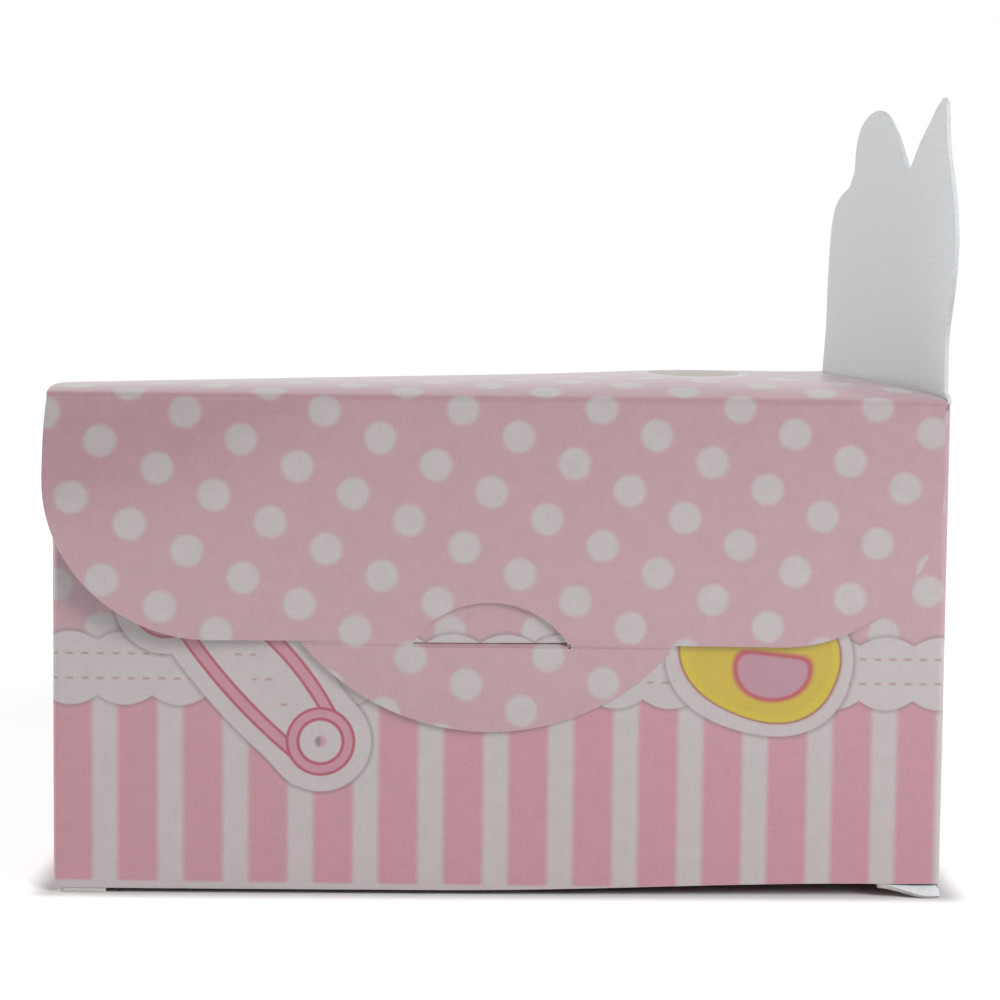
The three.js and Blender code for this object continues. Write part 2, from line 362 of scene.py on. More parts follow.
def dots(tree, place, first_dot, pitch, angle, radius, softness):
    """Dots on a square lattice: turn and scale the place into the lattice, keep the fraction, and
    measure how far that is from the middle of the cell."""
    turn = tree.nodes.new("ShaderNodeMapping")
    turn.vector_type = "TEXTURE"
    turn.inputs["Location"].default_value = (*first_dot, 0)
    turn.inputs["Rotation"].default_value = (0, 0, math.radians(angle))
    turn.inputs["Scale"].default_value = (pitch, pitch, 1)
    tree.links.new(place, turn.inputs["Vector"])
    lattice = parts_of(tree, turn.outputs[0])
    across, along = (repeat(tree, lattice[k], 0.0, 1.0) for k in (0, 1))
    away = calc(tree, "MULTIPLY", length_of(tree, across, along), pitch)
    return fade(tree, away, radius - softness, radius + softness)


def stripes(tree, u, middle, pitch, width, softness):
    """Upright stripes: 1 within half a width of a stripe's middle."""
    away = calc(tree, "MULTIPLY", calc(tree, "ABSOLUTE", repeat(tree, u, middle, pitch)), pitch)
    return fade(tree, away, width / 2 - softness, width / 2 + softness)


def lobe(tree, u, peak, pitch):
    """A row of round lobes: 1 at each peak and 0 at the cusps, with a parabola between them."""
    part = repeat(tree, u, peak, pitch)
    fall = calc(tree, "MULTIPLY", calc(tree, "MULTIPLY", part, part), 4.0)
    return calc(tree, "SUBTRACT", 1.0, fall)


# %% [markdown]
# ## The walls' print
#
# From top to bottom the walls carry dots on pale pink, a white band with scalloped edges and two
# rows of stitches, and stripes. A soft grey shade around the band makes it look laid on. All of it
# depends only on the place along the walls (u) and the height (v), so one function draws all four.

# %% Walls' pattern
stripe_middle, stripe_pitch, stripe_width = -42.93, 6.555, 4.0
wall_dots = {"first_dot": (-5.03, 26.9), "pitch": 6.187, "angle": 45, "radius": 1.57,
             "softness": 0.32}
dots_foot = 23.0
band_peak, band_pitch = -43.1, 5.478
band_top, upper_lobe = 25.64, 0.9
band_foot, lower_lobe = 20.13, 0.97
stitch_start, stitch_pitch, stitch_rows = -41.62, 1.535, (24.33, 21.83)


def stitches(tree, u, v, heights):
    """Rows of short dashes: close to a row's height, and close to a dash's middle."""
    from_row = calc(tree, "ABSOLUTE", calc(tree, "SUBTRACT", v, heights[0]))
    for height in heights[1:]:
        from_other = calc(tree, "ABSOLUTE", calc(tree, "SUBTRACT", v, height))
        from_row = calc(tree, "MINIMUM", from_row, from_other)
    from_dash = calc(tree, "ABSOLUTE", repeat(tree, u, stitch_start, stitch_pitch))
    on_dash = fade(tree, calc(tree, "MULTIPLY", from_dash, stitch_pitch), 0.15, 0.55)
    return calc(tree, "MULTIPLY", fade(tree, from_row, 0.02, 0.22), on_dash)


def wall_colours(tree, place, u, v):
    """Dots above, stripes below, then the band with its shade and its stitches."""
    stripe = stripes(tree, u, stripe_middle, stripe_pitch, stripe_width, softness=0.38)
    striped = lay(tree, white_ink, stripe_pink, stripe)
    dotted = lay(tree, dot_pink, white_ink, dots(tree, place, **wall_dots))
    printed_ground = fill(tree, striped, dotted, v, dots_foot + 0.1, dots_foot)
    lobes = lobe(tree, u, band_peak, band_pitch)
    top = calc(tree, "ADD", calc(tree, "MULTIPLY", lobes, upper_lobe), band_top)
    foot = calc(tree, "SUBTRACT", band_foot, calc(tree, "MULTIPLY", lobes, lower_lobe))
    inside = calc(tree, "SMOOTH_MIN", calc(tree, "SUBTRACT", top, v),
                  calc(tree, "SUBTRACT", v, foot), 0.1)
    shaded = fill(tree, printed_ground, shadow_grey, inside, 0.0, -0.62, strength=0.42)
    banded = fill(tree, shaded, white_ink, inside, 0.1, -0.12)
    return lay(tree, banded, stitch_pink, stitches(tree, u, v, stitch_rows))


print("band repeats every", band_pitch, "mm, stitches every", stitch_pitch, "mm")

# %% [markdown]
# ## The printed pin
#
# A diaper pin is printed at the left of the front: a ring, two bars and a round head that the
# closure flap half covers, with a white border all round. Each part is a distance: the ring and the
# head are circles, and each bar is a piece of a large circle that ends at the ring. The border is
# everything closer than its width, so the union of the parts is the smallest of their distances.
# The white field between the bars is where both large circles reach.

# %% Pin
pin_ring, ring_outer, ring_inner = (-18.0, 15.57), 3.5, 2.28
pin_head, head_radius = (-33.5, 29.5), 3.6
left_bar = ((18.08, 60.83), 60.37, (0.862, -0.507))
right_bar = ((-44.13, 3.97), 30.63, (0.589, -0.808))
bar_half_width, bar_top, end_steepness = 0.74, 27.5, 2.0
border_width, pin_line = 1.6, 0.28
pin_stitch_rows, stitches_foot = (*stitch_rows, 19.28), 17.4


def from_point(tree, u, v, point):
    """Distance from a point of the print."""
    return length_of(tree, calc(tree, "SUBTRACT", u, point[0]), calc(tree, "SUBTRACT", v, point[1]))


def bar(tree, u, v, centre, radius, end):
    """Distance past a bar's large circle, and past the bar itself, which lies half its width to both
    sides of the circle. The bar ends above its top, and beyond the ring's middle in the direction
    end."""
    past_circle = calc(tree, "SUBTRACT", from_point(tree, u, v, centre), radius)
    past_bar = calc(tree, "SUBTRACT", calc(tree, "ABSOLUTE", past_circle), bar_half_width)
    across = calc(tree, "MULTIPLY", calc(tree, "SUBTRACT", u, pin_ring[0]), end[0])
    along = calc(tree, "MULTIPLY", calc(tree, "SUBTRACT", v, pin_ring[1]), end[1])
    beyond = calc(tree, "MAXIMUM", calc(tree, "ADD", across, along), 0.0)
    past_bar = calc(tree, "MAXIMUM", past_bar, calc(tree, "SUBTRACT", v, bar_top))
    return past_circle, calc(tree, "ADD", past_bar, calc(tree, "MULTIPLY", beyond, end_steepness))


def outlined(tree, under, distance):
    """A pink shape with a darker line inside its outline. The distance is negative inside."""
    filled = fill(tree, under, pin_outline, distance, -0.08, 0.1)
    return fill(tree, filled, pin_pink, distance, -pin_line - 0.12, -pin_line + 0.1)


def pin_colours(tree, under, u, v):
    """Lays the pin on the print under it: shade, border, stitches, bars, head, ring and dot."""
    to_ring = from_point(tree, u, v, pin_ring)
    to_head = calc(tree, "SUBTRACT", from_point(tree, u, v, pin_head), head_radius)
    past_left, left = bar(tree, u, v, *left_bar)
    past_right, right = bar(tree, u, v, *right_bar)
    bars = calc(tree, "MINIMUM", left, right)
    ring = calc(tree, "SUBTRACT", to_ring, ring_outer)
    shape = calc(tree, "MINIMUM", calc(tree, "SMOOTH_MIN", bars, ring, 1.3), to_head)
    between = calc(tree, "MAXIMUM", past_left, past_right)
    between = calc(tree, "MAXIMUM", between, calc(tree, "SUBTRACT", v, bar_top))
    above_ring = calc(tree, "MAXIMUM", between, calc(tree, "SUBTRACT", pin_ring[1], v))
    border = calc(tree, "MINIMUM", calc(tree, "SUBTRACT", shape, border_width), above_ring)
    shaded = fill(tree, under, shadow_grey, border, 0.0, 0.55, strength=0.5)
    bordered = fill(tree, shaded, white_ink, border, -0.12, 0.08)
    in_field = calc(tree, "MULTIPLY", fade(tree, between, -2.5, -2.2),
                    fade(tree, v, stitches_foot + 0.1, stitches_foot))
    sewn = calc(tree, "MULTIPLY", stitches(tree, u, v, pin_stitch_rows), in_field)
    bordered = lay(tree, bordered, stitch_pink, sewn)
    barred = outlined(tree, bordered, calc(tree, "MINIMUM", bars, to_head))
    ringed = outlined(tree, barred, ring)
    hole = calc(tree, "SUBTRACT", to_ring, ring_inner)
    holed = fill(tree, ringed, pin_outline, hole, 0.06, 0.24)
    holed = fill(tree, holed, white_ink, hole, -0.28, -0.08)
    right_of_middle = calc(tree, "SUBTRACT", u, pin_ring[0])
    dot_colour = fill(tree, pin_pink, shadow_grey, right_of_middle, -0.35, 0.25)
    return fill(tree, holed, dot_colour, to_ring, 0.3, 0.8, strength=0.85)


print("pin ring", 2 * ring_outer, "mm across")

# %% [markdown]
# ## The printed pacifier
#
# At the right of the front, the lower half of a yellow pacifier shows under the flap, with a pink
# oval in it. Its outline is a rounded oval between an ellipse and a rectangle: the powers of the two
# distances from its middle are added, and a power above 2 makes it fuller than an ellipse.

# %% Pacifier
pacifier_border = ((26.17, 24.33), (9.5, 7.62), -15.0, 2.3)
pacifier_guard = ((26.23, 24.82), (8.26, 6.62), -22.3, 2.3)
pacifier_oval = ((27.55, 23.35), (3.9, 3.3), 0.0, 2.1)
oval_cut, oval_cut_fall = 27.75, 0.105


def full_oval(tree, u, v, middle, half_sizes, angle, power):
    """Roughly how far the place is outside a full oval, in millimetres and negative inside."""
    cos, sin = math.cos(math.radians(angle)), math.sin(math.radians(angle))
    right_of = calc(tree, "SUBTRACT", u, middle[0])
    above = calc(tree, "SUBTRACT", v, middle[1])
    across = calc(tree, "ADD", calc(tree, "MULTIPLY", right_of, cos),
                  calc(tree, "MULTIPLY", above, sin))
    along = calc(tree, "SUBTRACT", calc(tree, "MULTIPLY", above, cos),
                 calc(tree, "MULTIPLY", right_of, sin))
    shares = [calc(tree, "POWER", calc(tree, "ABSOLUTE", calc(tree, "DIVIDE", part, half)), power)
              for part, half in zip((across, along), half_sizes)]
    share = calc(tree, "POWER", calc(tree, "ADD", *shares), 1 / power)
    return calc(tree, "MULTIPLY", calc(tree, "SUBTRACT", share, 1.0), sum(half_sizes) / 2)


def pacifier_colours(tree, under, u, v):
    """Lays the pacifier on the print under it: shade, white border, yellow guard and pink oval. The
    oval is an ellipse that a slanting line cuts off above."""
    border = full_oval(tree, u, v, *pacifier_border)
    guard = full_oval(tree, u, v, *pacifier_guard)
    cut_line = calc(tree, "SUBTRACT", oval_cut, calc(tree, "MULTIPLY", u, oval_cut_fall))
    oval = calc(tree, "SMOOTH_MAX", full_oval(tree, u, v, *pacifier_oval),
                calc(tree, "SUBTRACT", v, cut_line), 1.4)
    shaded = fill(tree, under, shadow_grey, border, 0.0, 0.6, strength=0.45)
    bordered = fill(tree, shaded, white_ink, border, -0.09, 0.05)
    edged = fill(tree, bordered, red_outline, guard, 0.0, 0.35, strength=0.35)
    lined = fill(tree, edged, guard_outline, guard, -0.02, 0.14, strength=0.85)
    deep = fill(tree, lined, deep_yellow, guard, -0.26, 0.0)
    pale = fill(tree, deep, yellow, guard, -1.0, -0.6)
    haloed = fill(tree, pale, red_outline, oval, 0.1, 0.42, strength=0.6)
    rimmed = fill(tree, haloed, red_outline, oval, -0.05, 0.15)
    return fill(tree, rimmed, oval_pink, oval, -0.5, -0.12)


print("pacifier guard", 2 * pacifier_guard[1][0], "mm across")

# %% [markdown]
# ## Board materials
#
# A printed carton has a thin satin varnish over the ink, so it shines softly at low angles, and the
# board's fibres still show as very fine bumps. Inside, the board is bare and dull. A cut edge shows
# the pressed fibres as fine lines. The ink also varies a little, in soft patches and fine specks.

# %% Finish shared by the printed sides
varnish_roughness, varnish_specular = 0.2, 0.9
fibre_height = 0.00002


def new_material(name, roughness, specular):
    """A node material with these settings on the shader's own sockets."""
    material = bpy.data.materials.new(name)
    material.use_nodes = True
    shader = material.node_tree.nodes["Principled BSDF"]
    shader.inputs["Roughness"].default_value = roughness
    shader.inputs["Specular IOR Level"].default_value = specular
    return material, material.node_tree, shader


def noise(tree, place, scale, detail):
    """Soft noise between about 0.3 and 0.7, at so many patches a millimetre."""
    node = tree.nodes.new("ShaderNodeTexNoise")
    node.inputs["Scale"].default_value = scale
    node.inputs["Detail"].default_value = detail
    tree.links.new(place, node.inputs["Vector"])
    return node.outputs["Fac"]


def raise_fibres(tree, shader, height, strength):
    """Fine bumps, as high as the board's fibres."""
    bump = tree.nodes.new("ShaderNodeBump")
    bump.inputs["Strength"].default_value = strength
    bump.inputs["Distance"].default_value = fibre_height
    tree.links.new(height, bump.inputs["Height"])
    tree.links.new(bump.outputs[0], shader.inputs["Normal"])


def printed(name, draw):
    """A varnished print. draw gets the place on the flat print in millimetres, whole and as its two
    parts, lays the inks and returns their colour."""
    material, tree, shader = new_material(name, varnish_roughness, varnish_specular)
    place = tree.nodes.new("ShaderNodeAttribute")
    place.attribute_name = "print_place"
    place = place.outputs["Vector"]
    colour = draw(tree, place, *parts_of(tree, place)[:2])
    patches = noise(tree, place, scale=0.55, detail=3.0)
    specks = noise(tree, place, scale=3.2, detail=2.0)
    colour = fill(tree, colour, black, patches, 0.75, 0.3, strength=0.05)
    colour = fill(tree, colour, black, specks, 0.7, 0.35, strength=0.06)
    tree.links.new(colour, shader.inputs["Base Color"])
    raise_fibres(tree, shader, noise(tree, place, scale=2.2, detail=4.0), strength=0.25)
    print("material", name, "has", len(tree.nodes), "nodes")
    return material


# %% Printed materials
margin_top, margin_fall = 0.98, 0.0065
lid_dots = {"first_dot": (-39.84, -4.44), "pitch": 6.18, "angle": -25.5, "radius": 1.59,
            "softness": 0.32}
lid_oval = ((20.6, 22.0), (4.9, 10.0), 0.0, 2.2)


def front_drawing(tree, place, u, v):
    """The walls' print with the pin, the pacifier and the white margin at its lower edge."""
    walls = wall_colours(tree, place, u, v)
    figures = pacifier_colours(tree, pin_colours(tree, walls, u, v), u, v)
    margin = calc(tree, "SUBTRACT", margin_top, calc(tree, "MULTIPLY", u, margin_fall))
    return fill(tree, figures, white_ink, calc(tree, "SUBTRACT", v, margin), -0.2, 0.2)


def lid_drawing(tree, place, u, v):
    """Dots on pink over lid, flap and tongue, with a plain brown oval at the right of the lid."""
    dotted = lay(tree, dot_pink, white_ink, dots(tree, place, **lid_dots))
    past_oval = full_oval(tree, u, v, *lid_oval)
    bordered = fill(tree, dotted, white_ink, past_oval, 1.6, 1.9)
    return fill(tree, bordered, disc_brown, past_oval, -0.2, 0.2)


wall_print = printed("wall_print", wall_colours)
front_print = printed("front_print", front_drawing)
dotted_print = printed("dotted_print", lid_drawing)

# %% [markdown]
# The bare inside and the cut edges have no print to follow, so their fibres are drawn in the
# object's own coordinates. Those are in metres, and a Mapping node turns them into millimetres.

# %% Bare board and cut edges
def board_material(name, colour, shade, roughness, stretch):
    """Unprinted board: two close whites in a fibre pattern that is stretched one way."""
    material, tree, shader = new_material(name, roughness, specular=0.2)
    coordinates = tree.nodes.new("ShaderNodeTexCoord")
    to_mm = tree.nodes.new("ShaderNodeMapping")
    to_mm.inputs["Scale"].default_value = tuple(1000 * s for s in stretch)
    tree.links.new(coordinates.outputs["Object"], to_mm.inputs["Vector"])
    fibres = noise(tree, to_mm.outputs[0], scale=2.6, detail=5.0)
    tree.links.new(fill(tree, colour, shade, fibres, 0.72, 0.35), shader.inputs["Base Color"])
    raise_fibres(tree, shader, fibres, strength=0.35)
    return material


bare_board = board_material("bare_board", bare_white, bare_shade, 0.8, stretch=(1.0, 0.6, 1.0))
cut_edge = board_material("cut_edge", cut_white, cut_shade, 0.85, stretch=(0.4, 0.4, 3.0))
dotted_sides = [dotted_print, bare_board, cut_edge]
bare_sides = [bare_board, bare_board, cut_edge]
print("board materials:", bare_board.name, cut_edge.name)

# %% [markdown]
# ## The four walls
#
# The walls are one strip of board, folded at four upright creases. A crease in board isn't sharp: it
# turns on a radius a little larger than the board's thickness. Each wall takes half of the turn at
# each of its ends, so two neighbours meet in the middle of the corner, where no seam shows. Seen
# from above, a wall is then a path: an arc of 45 degrees, a straight line and another arc. The wall
# is the grid between that path at its foot and the same path at its top.

# %% Path of a wall, seen from above
corner_radius = 0.75


def wall_path(start, direction, outward, length, stops=()):
    """A wall with half a rounded corner at each end. Along the arc, the way along the wall is
    radius * (1 + sin t) and the way inwards is radius * (1 - cos t), with t from -45 to 0 degrees.
    Returns the places, and the running length of the board along them. stops are extra places along
    the wall that get a grid line of their own."""
    turn = np.linspace(-math.pi / 4, 0, 10)
    rising = corner_radius * (1 + np.sin(turn))
    sinking = corner_radius * (1 - np.cos(turn))
    straight = np.linspace(corner_radius, length - corner_radius, 56)[1:-1]
    straight = np.union1d(straight, stops)
    along = np.concatenate([rising, straight, (length - rising)[::-1]])
    sunk = np.concatenate([sinking, np.zeros(len(straight)), sinking[::-1]])
    places = np.array(start, float) + np.outer(along, direction) - np.outer(sunk, outward)
    run = np.concatenate([[0.0], np.cumsum(np.hypot(np.diff(along), np.diff(sunk)))])
    return places, run


def wall(node, places, run, foot, top, outward, print_start, ink, heights=None, kept=None):
    """The grid between a wall's foot and its top. Its print place is the running length and the
    height."""
    shares = np.linspace(0, 1, 22) if heights is None else heights
    x, y = places[:, 0], places[:, 1]
    grid = ruled(edge(x, y, foot), edge(x, y, top), shares)
    place = edge(np.broadcast_to(print_start + run, grid.shape[:2]), grid[..., 2])
    piece = sheet(node + "_board", grid, place, [ink, bare_board, cut_edge], (*outward, 0), kept)
    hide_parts(node)
    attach(piece, "carton")


# %% [markdown]
# The front wall has a slit for the lock tab. The grid gets lines at the slit's ends, and the cells
# of one narrow row between them are left out. Its lower edge was cut a little askew: it lies just
# above the table at the left and rises towards the right. The wall bows out a little in the middle,
# and its top is free and stands behind the lid's crease.

# %% Front wall
fold_radius = 0.9
slit_middle, slit_half_width = flap_centre - 0.6, 7.75
slit_foot, slit_top = tongue_crease - 1.05, tongue_crease - 0.2
slit_row, rows_above_slit = 13, 12
slit_ends = slit_middle + slit_half_width * np.array([-1, 1])
wall_bow = 0.25
foot_low, foot_rise = 0.44, 0.87
rise_start, rise_length = -6, 42

front_places, front_run = wall_path((left_face, front_face), (1, 0), (0, -1),
                                    right_face - left_face, slit_ends - left_face)
front_x = front_places[:, 0]
front_places[:, 1] -= wall_bow * (1 - (front_x / right_face) ** 2)
front_foot = foot_low + foot_rise * smooth_step((front_x - rise_start) / rise_length)
slit_shares = (np.array([slit_foot, slit_top]) - foot_low) / (wall_top - foot_low)
front_heights = np.concatenate([np.linspace(0, slit_shares[0], slit_row + 1),
                                np.linspace(slit_shares[1], 1, rows_above_slit)])
in_slit = (front_x[:-1] > slit_ends[0] - 0.01) & (front_x[:-1] < slit_ends[1] - 0.01)
front_kept = np.ones((len(front_heights) - 1, len(front_places) - 1), bool)
front_kept[slit_row, in_slit] = False
front_print_start = left_face + corner_radius * (1 - math.sqrt(0.5))
wall("front_wall", front_places, front_run, front_foot, wall_top, (0, -1), front_print_start,
     front_print, front_heights, front_kept)

# %% [markdown]
# The other three walls follow round the box, each starting its print where the last one ended. At
# its foot and top a wall stops short of a crease by the crease's radius, and a folded strip takes
# over there. The right wall has no crease at the top, because the standing figure is the same board.

# %% Heights of the side walls' edges
dust_crease, base_crease = 0.7, 0.0
top_dust_crease = corner_sizes("top_dust_flap")[1][2]
bottom_dust_front = corner_sizes("bottom_dust_flap_left")[0][1]
top_dust_front = corner_sizes("top_dust_flap")[0][1]
dust_gap = 0.3
dust_back = back_face - board - dust_gap - fold_radius
lid_edge = lid_right + 0.2

crease_ends = np.array([bottom_dust_front, top_dust_front, dust_back])
crease_ends = np.concatenate([crease_ends, crease_ends + [-0.1, -0.1, 0.1]])
crease_ends = np.clip(crease_ends, front_face + corner_radius + 0.02,
                      back_face - corner_radius - 0.02)


def free_edge(y, front, at_crease, beside_crease):
    """Height of a side wall's edge, which stops short only where a dust flap's crease begins."""
    at_flap = (y > front - 0.01) & (y < dust_back + 0.01)
    return np.where(at_flap, at_crease, beside_crease)


def side_foot(y):
    """Height of a side wall's lower edge."""
    return free_edge(y, bottom_dust_front, dust_crease + fold_radius, dust_crease)


print("a dust flap's crease ends", round(back_face - dust_back, 2), "mm before the back")

# %% Right, back and left walls
right_print_start = front_print_start + front_run[-1]
places, run = wall_path((right_face, front_face), (0, 1), (1, 0), depth, crease_ends - front_face)
wall("right_wall", places, run, side_foot(places[:, 1]), lid_height, (1, 0), right_print_start,
     wall_print)

back_print_start = right_print_start + run[-1]
places, run = wall_path((right_face, back_face), (-1, 0), (0, 1), right_face - left_face)
back_top = np.where(places[:, 0] > lid_edge, lid_height, lid_height - fold_radius)
wall("back_wall", places, run, base_crease + fold_radius, back_top, (0, 1), back_print_start,
     wall_print)

left_print_start = back_print_start + run[-1]
places, run = wall_path((left_face, back_face), (0, -1), (-1, 0), depth, back_face - crease_ends)
side_top = free_edge(places[:, 1], top_dust_front, top_dust_crease - fold_radius, top_dust_crease)
wall("left_wall", places, run, side_foot(places[:, 1]), side_top, (-1, 0), left_print_start,
     wall_print)

# %% [markdown]
# ## The lid
#
# The lid is board that was bent back at its front crease, so it bulges: it rises steeply over the
# first two millimetres behind that crease, then slowly to a low crown, and sinks to the back one. It
# is also twisted, with its back left corner low and its back right corner high. The height of the
# bulge was worked out from the places of the printed dots. The rows lie closer together at the
# front, where the lid bends most.

# %% Lid
front_radius, front_low = 0.7, 0.3
round_the_crease = 0.4
lid_depth = back_face - flap_face
kink_low, kink_rise, kink_length = 0.28, 0.87, 3
crown_length = 12
oval_rise, oval_middle, oval_reach = 0.4, 19, 9
edge_pull = 4.5


def bulge(x, behind):
    """Height of the bulging lid above the creases at so many millimetres behind the front one:
    (kink + crown) (1 - share^power) + share * twist, with share the part of the way to the back. The
    kink rises within a few millimetres as 1 - e^(-behind / 3), and the crown as 1 - e^(-behind / 12).
    Crown, power and twist change from left to right, and the crown is a little higher at the oval."""
    share = behind / lid_depth
    right = (x - lid_left) / (lid_edge - lid_left)
    kink = kink_low + kink_rise * (1 - np.exp(-behind / kink_length))
    at_oval = oval_rise * np.exp(-((x - oval_middle) / oval_reach) ** 2)
    crown = 0.3 + 1.1 * (1 - (1 - right) ** 2.5) + 0.4 * right ** 2 + at_oval
    crown = crown * (1 - np.exp(-behind / crown_length))
    power, twist = 0.8 + 0.7 * right, 0.9 * right - 0.5
    return (kink + crown) * (1 - share ** power) + share * twist


def lid_rise(x, behind):
    """The bulge, pulled down to an almost straight right edge beside the standing figure. The pull
    fades as e^(-distance / 4.5) with the distance from that edge."""
    edge_height = 0.7 - 0.5 * np.exp(-behind / 2) - 0.3 * behind / lid_depth
    pull = edge_height - bulge(lid_edge, behind)
    return bulge(x, behind) + pull * np.exp((x - lid_edge) / edge_pull)


lid_length = lid_depth - front_radius - fold_radius
lid_rows = front_radius + lid_length * np.linspace(0, 1, 60) ** 1.5
lid_columns = lid_edge - (lid_edge - lid_left) * np.linspace(1, 0, 56) ** 1.3
lid_x, lid_behind = np.meshgrid(lid_columns, lid_rows)
lid_grid = edge(lid_x, flap_face + lid_behind, lid_height + lid_rise(lid_x, lid_behind))
lid_board = sheet("lid_board", lid_grid, edge(lid_x, lid_behind + round_the_crease), dotted_sides,
                  (0, 0, 1))
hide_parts("lid_panel")
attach(lid_board, "lid")

# %% [markdown]
# ## The closure flap
#
# The flap hangs from the lid's front crease. Its lower corners are large arcs, and a half-moon is
# cut out of the middle of its lower edge, where the lock tab came from. Seen from the front it is
# the grid between a straight upper edge and a lower edge that is a function of the way across. The
# left corner has sprung a little off the wall, and its tip curls outwards to the left.

# %% Flap outline
corner_arc = 16.0
moon_middle, moon_half_width, moon_height = flap_centre - 0.5, 7.8, 4.1
flap_low_left, flap_low_right = tongue_crease + 0.12, tongue_crease - 0.45
left_spring, right_spring = 2.0, 0.05


def cap(across, half_width, height):
    """Height of a cap of a circle, negative beyond its ends. The circle's radius follows from half
    the width w and the height h: radius = (w^2 + h^2) / (2 h)."""
    radius = (half_width ** 2 + height ** 2) / (2 * height)
    return np.sqrt(np.maximum(radius ** 2 - across ** 2, 0)) - (radius - height)


def flap_edge(x):
    """Height of the flap's straight lower edge, which falls a little from left to right."""
    return np.interp(x, [lid_left, lid_right], [flap_low_left, flap_low_right])


def flap_lift(x, z):
    """How far the flap stands off the wall, most at its left edge, where it springs out just below
    the crease: the lift grows as 1 - e^(-6 down), with down the part of the way from the crease."""
    to_left = np.clip((-14 - x) / 31, 0, 1)
    to_right = np.clip((x - 18) / 26, 0, 1)
    down = np.clip((lid_height - front_low - z) / 24, 0, 1)
    at_left = left_spring * to_left ** 1.7 * (1 - np.exp(-6 * down))
    return at_left + right_spring * to_right ** 2 * down ** 1.3


def hanging_place(grid):
    """Print places of a panel that hangs from the lid: across, and down from the lid's height."""
    return edge(grid[..., 0], grid[..., 2] - lid_height)


# %% Flap
quarter = np.linspace(0, math.pi / 2, 26)
half_circle = np.linspace(0, math.pi, 41)
flap_columns = np.unique(np.concatenate([
    corner_columns(lid_left, lid_right, corner_arc, quarter),
    moon_middle - moon_half_width * np.cos(half_circle),
    np.linspace(lid_left, lid_right, 30)]).round(4))
moon = np.maximum(cap(flap_columns - moon_middle, moon_half_width, moon_height), 0)
arcs = corner_rise(flap_columns, lid_left, lid_right, corner_arc)
flap_foot = flap_edge(flap_columns) + arcs + moon
flap_grid = ruled(edge(flap_columns, flap_face, lid_height - front_low),
                  edge(flap_columns, flap_face, flap_foot), np.linspace(0, 1, 26))
flap_place = hanging_place(flap_grid)
lift = flap_lift(flap_grid[..., 0], flap_grid[..., 2])
flap_grid[..., 1] -= lift
flap_grid[..., 0] -= 0.14 * lift * np.clip((-35 - flap_grid[..., 0]) / 10, 0, 1)
flap_board = sheet("flap_board", flap_grid, flap_place, dotted_sides, (0, -1, 0))
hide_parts("closure_flap")
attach(flap_board, "flap")

# %% [markdown]
# ## The tongue and its lock tab
#
# The tongue hangs below the middle of the flap, and its lower edge is a cap of a large circle. Where
# the lock tab leaves it, the tongue's upper edge is a little lower. The tab itself is the half-moon
# that was cut from the flap. It bends through the slit and stands behind the front wall, so its
# profile is a smooth step, and its width at each height is that of the moon. When the tongue is
# pulled out, the real tab bends and slides back through the slit. Here it rides on the tongue in this
# shape.

# %% Tongue
tongue_middle, tongue_half_width, tongue_drop = flap_centre - 0.75, 18.9, 9.0
tongue_reach = tongue_half_width - 0.1
tongue_rows = 14
soft_end, seam_height = 0.3, 0.4
tab_root = tongue_crease - 0.66
slot_left, slot_right = moon_middle - moon_half_width, moon_middle + moon_half_width + 0.25


def drop_below(x):
    """How far the tongue reaches below the flap's edge: a cap of a circle whose ends run out softly,
    (cap + sqrt(cap^2 + 0.3^2)) / 2."""
    below = cap(x - tongue_middle, tongue_half_width, tongue_drop)
    return (below + np.sqrt(below ** 2 + soft_end ** 2)) / 2


def seam(x):
    """Height of the bending strip at the crease, which is less where the tongue is narrower."""
    return np.minimum(seam_height, 0.5 * drop_below(x))


tongue_columns = tongue_middle - tongue_reach * np.cos(np.linspace(0, math.pi, 61))
tongue_columns = np.unique(np.append(tongue_columns, [slot_left, slot_right]).round(4))
tongue_foot = flap_edge(tongue_columns) - drop_below(tongue_columns)
tongue_top = flap_edge(tongue_columns) - seam(tongue_columns)
half_way = (tongue_foot + tongue_top) / 2
tongue_root = np.clip(tab_root, half_way, np.maximum(half_way, tongue_top - 0.02))
foot_edge, root_edge, top_edge = (edge(tongue_columns, flap_face, height)
                                  for height in (tongue_foot, tongue_root, tongue_top))
tongue_grid = np.concatenate([ruled(foot_edge, root_edge, np.linspace(0, 1, tongue_rows)),
                              ruled(root_edge, top_edge, [0.5, 1.0])])
tongue_kept = np.ones((len(tongue_grid) - 1, len(tongue_columns) - 1), bool)
cell_middles = (tongue_columns[1:] + tongue_columns[:-1]) / 2
at_tab = (cell_middles >= slot_left) & (cell_middles <= slot_right)
tongue_kept[tongue_rows - 1:, at_tab] = False
tongue_board = sheet("tongue_board", tongue_grid, hanging_place(tongue_grid), dotted_sides,
                     (0, -1, 0), tongue_kept)
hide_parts("lock_tongue")
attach(tongue_board, "tongue")

# %% Lock tab
tab_half_width, tab_tip_gap = moon_half_width - 0.02, 0.3
tab_face = corner_sizes("lock_tab")[1][1] - board
bend_height = 0.9
tab_columns = moon_middle - tab_half_width * np.cos(np.linspace(0, math.pi, 33))
tab_tip = tongue_crease + cap(tab_columns - moon_middle, moon_half_width, moon_height - tab_tip_gap)
tab_heights = tab_root + (tab_tip - tab_root) * (np.linspace(0, 1, 30) ** 1.3)[:, None]
through_slit = smooth_step((tab_heights - tab_root) / bend_height)
tab_grid = edge(tab_columns, flap_face + (tab_face - flap_face) * through_slit, tab_heights)
tab_board = sheet("lock_tab_board", tab_grid, hanging_place(tab_grid), dotted_sides, (0, -1, 0))
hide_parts("lock_tab")
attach(tab_board, "tongue")
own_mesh(tab_board)
